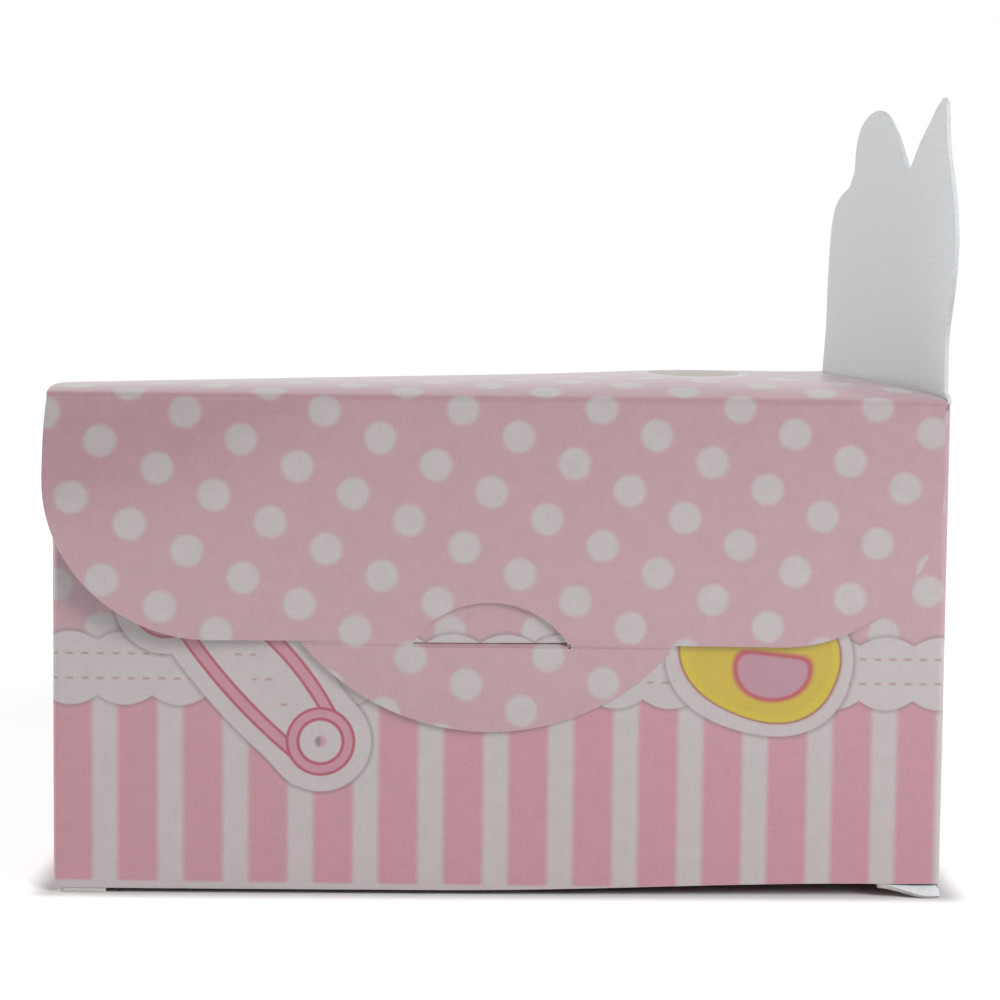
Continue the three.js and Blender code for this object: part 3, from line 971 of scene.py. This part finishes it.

# %% [markdown]
# ## Creases that bend
#
# Between two panels that turn against each other, a narrow strip of board bends. Its profile is a
# quadratic curve: it leaves the first panel in that panel's direction, aims at the sharp corner
# where the two panels would meet, and arrives in the second panel's direction. A short flat row at
# each end gives the strip the same shading as its neighbours. The strip stays where it is made:
# nothing ties it to either panel.

# %% Folded strip
def fold(name, first, corner, last, place, ink, outside):
    """A strip from the edge first to the edge last that bends at the crease line corner. At share t
    of the bend a point is (1-t)^2 a + 2t(1-t) corner + t^2 b, with a and b one fifth of the way from
    the edges to the crease line. place holds the print places of the two edges."""
    first, corner, last = np.broadcast_arrays(first, corner, last)
    a, b = first + 0.2 * (corner - first), last + 0.2 * (corner - last)
    t = np.linspace(0, 1, 13)[:, None, None]
    bend = (1 - t) ** 2 * a + 2 * t * (1 - t) * corner + t ** 2 * b
    grid = np.concatenate([first[None], bend, last[None]])
    steps = np.linalg.norm(np.diff(grid, axis=0), axis=-1).mean(axis=1)
    shares = np.concatenate([[0.0], np.cumsum(steps)])
    printed_at = ruled(place[0], place[1], shares / shares[-1])
    piece = sheet(name, grid, printed_at, [ink, bare_board, cut_edge], outside)
    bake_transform(piece)


# %% Front crease of the lid
behind_crease = lid_height + lid_rise(lid_columns, front_radius)
front_slope = (lid_rise(lid_columns, front_radius + 0.01)
               - lid_rise(lid_columns, front_radius - 0.01)) / 0.02
fold("lid_front_crease", edge(lid_columns, flap_face + front_radius, behind_crease),
     edge(lid_columns, flap_face, behind_crease - front_radius * front_slope),
     edge(lid_columns, flap_face, lid_height - front_low),
     (edge(lid_columns, front_radius + round_the_crease), edge(lid_columns, -front_low)),
     dotted_print,
     (0, -1, 1))

# %% Back crease of the lid
lid_end = round_the_crease + lid_depth
before_back = lid_height + lid_rise(lid_columns, lid_depth - fold_radius)
fold("lid_back_crease", edge(lid_columns, back_face, lid_height - fold_radius),
     edge(lid_columns, back_face, lid_height + lid_rise(lid_columns, lid_depth)),
     edge(lid_columns, back_face - fold_radius, before_back),
     (edge(lid_columns, lid_end + fold_radius), edge(lid_columns, lid_end - fold_radius)),
     dotted_print,
     (0, 1, 1))

# %% Crease between flap and tongue, on both sides of the tab
for side, inner, outer, dent in (("left", slot_left, tongue_middle - tongue_reach, 0.02),
                                 ("right", slot_right, tongue_middle + tongue_reach, 0.05)):
    columns = np.linspace(inner, outer, 30)
    line, strip = flap_edge(columns), seam(columns)
    fold("tongue_crease_" + side, edge(columns, flap_face, line),
         edge(columns, flap_face + dent, line - strip / 2), edge(columns, flap_face, line - strip),
         (edge(columns, line - lid_height), edge(columns, line - strip - lid_height)),
         dotted_print, (0, -1, 0))

# %% [markdown]
# ## The bottom
#
# Underneath, the bottom panel is hinged on the back wall and closes with a tuck flap that slides in
# behind the front wall. The panel has sprung up a little at the front, so a dark gap shows under the
# wall. Beside the tuck flap the panel has two short shoulders that reach forward under the wall. The
# right one curls over and comes down on the table. The panel is a grid whose front row follows the
# shoulders, with a narrow slit left open between each shoulder and the tuck flap's crease.

# %% Bottom panel
bottom_left, bottom_right = (corner_sizes("bottom_panel")[k][0] for k in (0, 1))
tuck_face, tuck_top = corner_sizes("bottom_tuck_flap")[0][1], corner_sizes("bottom_tuck_flap")[1][2]
left_shoulder, right_shoulder = 4.9, 6.0
shoulder_slit, shoulder_corner = 0.3, 1.0
tuck_radius = 0.6
bottom_spring, spring_start, spring_length = 0.95, -20, 27
bottom_rows = 30


def bottom_bow(x, y):
    """How far the bottom has sprung up: most at the front, in the middle and at the right."""
    from_left = smooth_step((x - rise_start) / rise_length)
    from_right = smooth_step((right_face - fold_radius - x) / 6)
    to_front = np.clip((spring_start - y) / spring_length, 0, 1)
    return bottom_spring * (from_left * from_right) * to_front ** 1.5


slit_start_left = bottom_left + left_shoulder
slit_start_right = bottom_right - right_shoulder
bottom_columns = np.unique(np.concatenate([
    corner_columns(bottom_left, bottom_right, shoulder_corner, quarter[::3]),
    slit_start_left + np.array([0, shoulder_slit]), slit_start_right - np.array([0, shoulder_slit]),
    bottom_right - np.linspace(0, right_shoulder, 13),
    np.linspace(bottom_left, bottom_right, 40)]).round(4))
rounding = corner_rise(bottom_columns, bottom_left, bottom_right, shoulder_corner)
on_right = bottom_columns >= slit_start_right - 0.001
on_shoulder = (bottom_columns <= slit_start_left + 0.001) | on_right
outward = np.clip((bottom_columns - slit_start_right) / right_shoulder, 0, 1)
shoulder_front = front_face + rounding - (0.1 + 0.7 * outward) * on_right
bottom_front = np.where(on_shoulder, shoulder_front, tuck_face + tuck_radius)
slit_end = tuck_face + tuck_radius + 0.5
bottom_back, bottom_root, bottom_edge = (
    edge(bottom_columns, y, 0) for y in (back_face - fold_radius, slit_end, bottom_front))
bottom_grid = np.concatenate([ruled(bottom_back, bottom_root, np.linspace(0, 1, bottom_rows)),
                              ruled(bottom_root, bottom_edge, np.linspace(0, 1, 11)[1:])])
bottom_grid[..., 2] = bottom_bow(bottom_grid[..., 0], bottom_grid[..., 1])

# %% [markdown]
# The right shoulder's profile is a quadratic curve over the share t of the way from its root to its
# front edge: it starts on the panel, aims high under the wall's foot, and ends on the table at the
# outer corner and close under the wall at the other end.

# %% Curled shoulder
t = np.linspace(0, 1, 11)[1:, None]
root_height = bottom_grid[bottom_rows - 1, :, 2]
aim_height = 0.9 + 0.8 * outward
front_height = 0.9 * (1 - smooth_step(outward / 0.85))
curled = (1 - t) ** 2 * root_height + 2 * t * (1 - t) * aim_height + t ** 2 * front_height
bottom_grid[bottom_rows:, on_right, 2] = curled[:, on_right]
bottom_kept = np.ones((len(bottom_grid) - 1, len(bottom_columns) - 1), bool)
bottom_kept[bottom_rows - 1:, on_shoulder[1:] != on_shoulder[:-1]] = False
bottom_place = edge(back_print_start + right_face - bottom_grid[..., 0],
                    bottom_grid[..., 1] - back_face)
bottom_board = sheet("bottom_board", bottom_grid, bottom_place, [wall_print, bare_board, cut_edge],
                     (0, 0, -1), bottom_kept)
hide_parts("bottom_panel")
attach(bottom_board, "base")

# %% Tuck flap
tuck_left, tuck_right = slit_start_left + shoulder_slit, slit_start_right - shoulder_slit
tuck_corner = 4.0
tuck_columns = np.unique(np.concatenate([
    corner_columns(tuck_left, tuck_right, tuck_corner, quarter[::3]),
    np.linspace(tuck_left, tuck_right, 30)]).round(4))
tuck_edge = tuck_top - corner_rise(tuck_columns, tuck_left, tuck_right, tuck_corner)
sprung = bottom_bow(tuck_columns, tuck_face)
tuck_grid = ruled(edge(tuck_columns, tuck_face, tuck_radius + sprung),
                  edge(tuck_columns, tuck_face, tuck_edge + sprung), np.linspace(0, 1, 10))
tuck_board = sheet("tuck_flap_board", tuck_grid, tuck_grid[..., [0, 2]], bare_sides, (0, -1, 0))
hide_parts("bottom_tuck_flap")
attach(tuck_board, "tuck")

# %% Creases of the bottom panel
crease_start = tuck_face + tuck_radius
plain_place = edge(np.full(len(tuck_columns), stripe_middle), 10.0)
fold("tuck_crease", edge(tuck_columns, crease_start, bottom_bow(tuck_columns, crease_start)),
     edge(tuck_columns, tuck_face, sprung), edge(tuck_columns, tuck_face, tuck_radius + sprung),
     (plain_place, plain_place),
     wall_print, (0, -1, -1))
base_columns = np.linspace(bottom_left, bottom_right, 40)
base_u = back_print_start + right_face - base_columns
fold("base_crease", edge(base_columns, back_face, fold_radius), edge(base_columns, back_face, 0),
     edge(base_columns, back_face - fold_radius, 0),
     (edge(base_u, fold_radius), edge(base_u, -fold_radius)),
     wall_print, (0, 1, -1))

# %% [markdown]
# ## Dust flaps and the glued seam
#
# Four small flaps are only seen when the box is open. Two dust flaps lie on the bottom panel, one
# hangs from the left wall under the lid, and a narrow tab, folded in from the left wall, is glued
# inside the back wall. Each is a tapered plate of bare board: a grid between two straight edges. A
# dust flap's front corner is cut off, and its back edge slants at 45 degrees.

# %% Dust flaps
top_dust_length, bottom_dust_length, dust_corner_cut = 24.0, 30.0, 3


def dust_flap(name, node, body, side, length, front, height, face, rise, print_at):
    """A flap from a side wall's crease inwards. side is -1 at the left and 1 at the right. Its front
    corner is cut and its back edge slants. face is the way that its printed side faces, and rise
    gives how far the flap stands above its crease at each place."""
    crease_x = side * right_face
    reach = np.linspace(fold_radius, length, 14)
    x = crease_x - side * reach
    back = back_face - board - dust_gap - reach
    front_edge = front + np.clip(reach - (length - dust_corner_cut), 0, dust_corner_cut)
    grid = ruled(edge(x, front_edge, height), edge(x, back, height), np.linspace(0, 1, 40))
    grid[..., 2] += rise(grid[..., 0], grid[..., 1])
    piece = sheet(name, grid, grid[..., :2], bare_sides, (0, 0, face))
    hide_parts(node)
    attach(piece, body)
    rows = np.linspace(front, dust_back, 40)
    wall_edge = height - face * fold_radius
    u = print_at + (rows - front_face if side > 0 else back_face - rows)
    fold(name + "_crease", edge(crease_x, rows, wall_edge), edge(crease_x, rows, height),
         edge(crease_x - side * fold_radius, rows, height),
         (edge(u, wall_edge), edge(u, height + face * fold_radius)),
         wall_print, (side, 0, face))


def droop(x, y):
    """The top dust flap hangs down by 3 mm in every 100 from its crease inwards."""
    return -0.03 * (x - left_face - fold_radius)


for hand, side, print_start in (("left", -1, left_print_start), ("right", 1, right_print_start)):
    dust_flap("bottom_dust_" + hand, "bottom_dust_flap_" + hand, "dust_" + hand, side,
              bottom_dust_length, bottom_dust_front, dust_crease, -1, bottom_bow, print_start)
dust_flap("top_dust", "top_dust_flap", "top_dust", -1, top_dust_length, top_dust_front,
          top_dust_crease, 1, droop, left_print_start)

# %% Glued seam
seam_low, seam_high = corner_sizes("glue_tab")
seam_taper = 3.0
seam_columns = np.linspace(seam_low[0], seam_high[0], 12)
taper = seam_taper * (seam_columns - seam_low[0]) / (seam_high[0] - seam_low[0])
glue_grid = ruled(edge(seam_columns, seam_high[1], seam_low[2] + taper),
                  edge(seam_columns, seam_high[1], seam_high[2] - taper), np.linspace(0, 1, 20))
glue_board = sheet("glue_tab_board", glue_grid, glue_grid[..., [0, 2]], bare_sides, (0, 1, 0))
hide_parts("glue_tab")
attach(glue_board, "carton")

# %% [markdown]
# ## The standing figure
#
# A figure stands up at the right: the board of the right wall goes on above the lid, cut to a
# rounded outline. Its inside is bare white board. Its outside has a plain print that follows the
# cut: a white border, a thin line of deeper pink and dots on pale pink. The outline is four smooth
# stretches, each a Catmull-Rom curve through the points of the solid, with straight cuts between
# them. The places are shares of the box's depth and of the figure's height. The board's edge is seen
# from the front, so the outline is squeezed a little to leave room for its thickness.

# %% Outline of the figure
outline_stretches = [
    [(0, 0.035), (0, 0.2), (-0.03, 0.35), (-0.042, 0.44), (-0.044, 0.53), (-0.022, 0.65),
     (0.018, 0.78), (0.036, 0.92)],
    [(0.062, 0.945), (0.11, 0.92), (0.15, 0.88), (0.2, 0.835), (0.245, 0.785), (0.272, 0.757)],
    [(0.296, 0.757), (0.32, 0.795), (0.37, 0.87), (0.41, 0.913), (0.47, 0.97), (0.535, 0.998),
     (0.58, 1), (0.62, 0.995), (0.69, 0.965), (0.732, 0.898), (0.745, 0.805)],
    [(0.79, 0.752), (0.905, 0.706), (0.96, 0.608), (0.982, 0.45), (0.99, 0.36), (0.998, 0.19)],
]
squeeze_from = (-53, -48, -38, -30, 0, 20, 48)
squeeze_to = (-50.7, -46, -38.4, -29.6, -1.5, 17.2, 45.2)
foot_height = 0.5


def smooth_through(points, steps=10):
    """Catmull-Rom: between two points the curve is a cubic whose slopes at them are half the way
    between their neighbours. The first and last points stand in for their own missing neighbours."""
    p = np.concatenate([points[:1], points, points[-1:]])
    t = np.linspace(0, 1, steps, endpoint=False)[:, None]
    a, b, c, d = (p[k:len(p) - 3 + k, None] for k in range(4))
    curve = 0.5 * (2 * b + (c - a) * t + (2 * a - 5 * b + 4 * c - d) * t ** 2
                   + (3 * b - a - 3 * c + d) * t ** 3)
    return np.concatenate([curve.reshape(-1, 2), points[-1:]])


def evenly(line, count):
    """The same line through evenly spaced points."""
    run = np.concatenate([[0.0], np.cumsum(np.linalg.norm(np.diff(line, axis=0), axis=1))])
    at = np.linspace(0, run[-1], count)
    return np.stack([np.interp(at, run, line[:, k]) for k in range(2)], axis=-1)


figure_top = corner_sizes("popup_figure")[1][2]
figure_scale = np.array([depth, figure_top - lid_height])
figure_corner = np.array([front_face, lid_height])
outline_parts = [figure_corner[None] + [0, foot_height]]
for stretch in outline_stretches:
    points = figure_corner + np.array(stretch) * figure_scale
    points[:, 0] = np.interp(points[:, 0], squeeze_from, squeeze_to)
    outline_parts.append(smooth_through(points))
outline_parts.append(np.array([[back_face, lid_height + foot_height]]))
figure_outline = evenly(np.concatenate(outline_parts), 340)
print("the figure's cut edge has", len(figure_outline), "points")

# %% [markdown]
# The figure is a fan of lines from its base to its outline. For its print, each point also keeps its
# distance from the nearest edge of the figure: for every short piece of the outline, the nearest
# place on that piece is found by projection, and the smallest of these distances counts. The lines
# stand closer together on the base where the outline rises steeply, and most at the low front part.

# %% Grid of the figure
def distance_to(line, points):
    """Distance of each point from a line of short straight pieces. The nearest place on a piece is
    a + t (b - a), with t the projection of the point on the piece, held between 0 and 1."""
    a, along = line[:-1], np.diff(line, axis=0)
    offset = points[:, None] - a[None]
    t = np.clip((offset * along).sum(-1) / (along ** 2).sum(-1), 0, 1)
    return np.linalg.norm(offset - t[..., None] * along, axis=-1).min(axis=1)


middles = (figure_outline[1:] + figure_outline[:-1]) / 2
low_front = (middles[:, 0] < 0) & (middles[:, 1] < 60)
steps = np.abs(np.diff(figure_outline, axis=0))
outward_steps = steps[:, 0] + (0.12 + 0.9 * low_front) * steps[:, 1]
base_run = np.concatenate([[0.0], np.cumsum(outward_steps)])
base_y = front_face + depth * base_run / base_run[-1]
figure_grid = ruled(edge(right_face, base_y, lid_height),
                    edge(right_face, figure_outline[:, 0], figure_outline[:, 1]),
                    np.linspace(0, 1, 34))
to_edge = distance_to(figure_outline, figure_grid[..., 1:].reshape(-1, 2))
to_edge = np.minimum(to_edge.reshape(figure_grid.shape[:2]), figure_grid[..., 2] - lid_height)
print("widest place of the figure is", round(float(to_edge.max()), 1), "mm from its edge")

# %% Figure
border_end, line_end = 1.75, 2.5


def figure_drawing(tree, place, u, v):
    """Dots on pink, with a white border and a thin pink line at even distances from the edge."""
    from_edge = parts_of(tree, place)[2]
    dotted = lay(tree, dot_pink, white_ink, dots(tree, place, **wall_dots))
    lined = fill(tree, dotted, line_pink, from_edge, line_end, line_end + 0.15)
    return fill(tree, lined, white_ink, from_edge, border_end, border_end + 0.15)


figure_print = printed("figure_print", figure_drawing)
figure_place = edge(right_print_start + figure_grid[..., 1] - front_face, figure_grid[..., 2],
                    to_edge)
figure = sheet("popup_figure_board", figure_grid, figure_place,
               [figure_print, bare_board, bare_board], (1, 0, 0))
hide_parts("popup_figure")
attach(figure, "carton")

# %% [markdown]
# ## Floor and light
#
# The box stands on a plain white floor in soft light. One large lamp is above and in front at the
# right, a weaker one above at the left, and the sky fills the shadows. Cameras see the sky as pure
# white, and so do the varnished faces that mirror what is behind the box, while those that mirror
# the room in front see it dim. The floor adds a little light of its own, for the camera and for
# mirroring faces only, and more of it further from the box: it looks white like paper, yet it still
# shows the box's shadow and doesn't light the box any more than a white floor would. Within 4 mm of
# the box's foot this glow fades out, which paints a darker band of shade round the foot.

# %% Floor
floor_reach, floor_level = 4, -0.00003
near_glow, added_far = 0.58, 0.3

ground = bpy.data.meshes.new("floor")
ground.from_pydata([(x * floor_reach, y * floor_reach, floor_level)
                    for x, y in ((-1, -1), (1, -1), (1, 1), (-1, 1))], [], [(0, 1, 2, 3)])
floor = bpy.data.objects.new("floor", ground)
bpy.context.scene.collection.objects.link(floor)

floor_paint = bpy.data.materials.new("floor_paint")
floor_paint.use_nodes = True
tree = floor_paint.node_tree
tree.nodes.clear()
matt = tree.nodes.new("ShaderNodeBsdfDiffuse")
matt.inputs["Color"].default_value = (0.8, 0.8, 0.8, 1)
own_light = tree.nodes.new("ShaderNodeEmission")
rays = tree.nodes.new("ShaderNodeLightPath")
where = tree.nodes.new("ShaderNodeTexCoord").outputs["Object"]
far = tree.nodes.new("ShaderNodeVectorMath")
far.operation = "LENGTH"
tree.links.new(where, far.inputs[0])
glow = calc(tree, "MULTIPLY", fade(tree, far.outputs["Value"], 0.3, 0.05), added_far)
glow = calc(tree, "ADD", glow, near_glow)
# Painted shade: the glow fades out within 4 mm of the box's foot, so the floor darkens round it.
past_sides = []
for part, size in zip(parts_of(tree, where)[:2], (right_face - left_face, depth)):
    past = calc(tree, "SUBTRACT", calc(tree, "ABSOLUTE", part), size / 2000)
    past_sides.append(calc(tree, "MAXIMUM", past, 0.0))
glow = calc(tree, "MULTIPLY", glow, fade(tree, length_of(tree, *past_sides), 0.004, 0.0))
seen = calc(tree, "MAXIMUM", rays.outputs["Is Camera Ray"], rays.outputs["Is Glossy Ray"])
tree.links.new(calc(tree, "MULTIPLY", seen, glow), own_light.inputs["Strength"])
together = tree.nodes.new("ShaderNodeAddShader")
tree.links.new(matt.outputs[0], together.inputs[0])
tree.links.new(own_light.outputs[0], together.inputs[1])
out = tree.nodes.new("ShaderNodeOutputMaterial")
tree.links.new(together.outputs[0], out.inputs["Surface"])
floor.data.materials.append(floor_paint)

# %% Sky
sky_strength, mirrored_strength = 0.18, 0.85

world = bpy.data.worlds.new("sky")
bpy.context.scene.world = world
world.use_nodes = True
tree = world.node_tree
sky = tree.nodes["Background"]
sky.inputs["Color"].default_value = (1, 1, 1, 1)
rays = tree.nodes.new("ShaderNodeLightPath")
heading = tree.nodes.new("ShaderNodeTexCoord")
to_back = parts_of(tree, heading.outputs["Generated"])[1]
behind = calc(tree, "MULTIPLY", fade(tree, to_back, 0.3, 0.0), mirrored_strength)
mirrored = calc(tree, "MULTIPLY", rays.outputs["Is Glossy Ray"], behind)
seen = calc(tree, "MAXIMUM", rays.outputs["Is Camera Ray"], mirrored)
seen = calc(tree, "MAXIMUM", seen, rays.outputs["Is Transmission Ray"])
strength = calc(tree, "ADD", calc(tree, "MULTIPLY", seen, 1 - sky_strength), sky_strength)
tree.links.new(strength, sky.inputs["Strength"])


# %% Lamps
def lamp(name, place, aim, size, power):
    """A square lamp at a place that faces a point, both in metres. The varnish doesn't mirror it."""
    light = bpy.data.lights.new(name, "AREA")
    light.size = size
    light.energy = power
    lamp_object = bpy.data.objects.new(name, light)
    bpy.context.scene.collection.objects.link(lamp_object)
    away = np.array(place) - np.array(aim)
    away = away / np.linalg.norm(away)
    side = np.cross((0.0, 0.0, 1.0), away)
    side = side / np.linalg.norm(side)
    axes = np.eye(4)
    axes[:3, :3] = np.column_stack([side, np.cross(away, side), away])
    axes[:3, 3] = place
    lamp_object.matrix_world = Matrix(axes.tolist())
    lamp_object.visible_glossy = False


lamp("key", place=(0.33, -0.34, 0.3), aim=(0.0, -0.03, 0.05), size=0.28, power=2.04)
lamp("fill", place=(-0.5, 0.02, 0.2), aim=(0.0, 0.0, 0.06), size=0.45, power=2.02)
bpy.context.scene.view_settings.view_transform = "Standard"
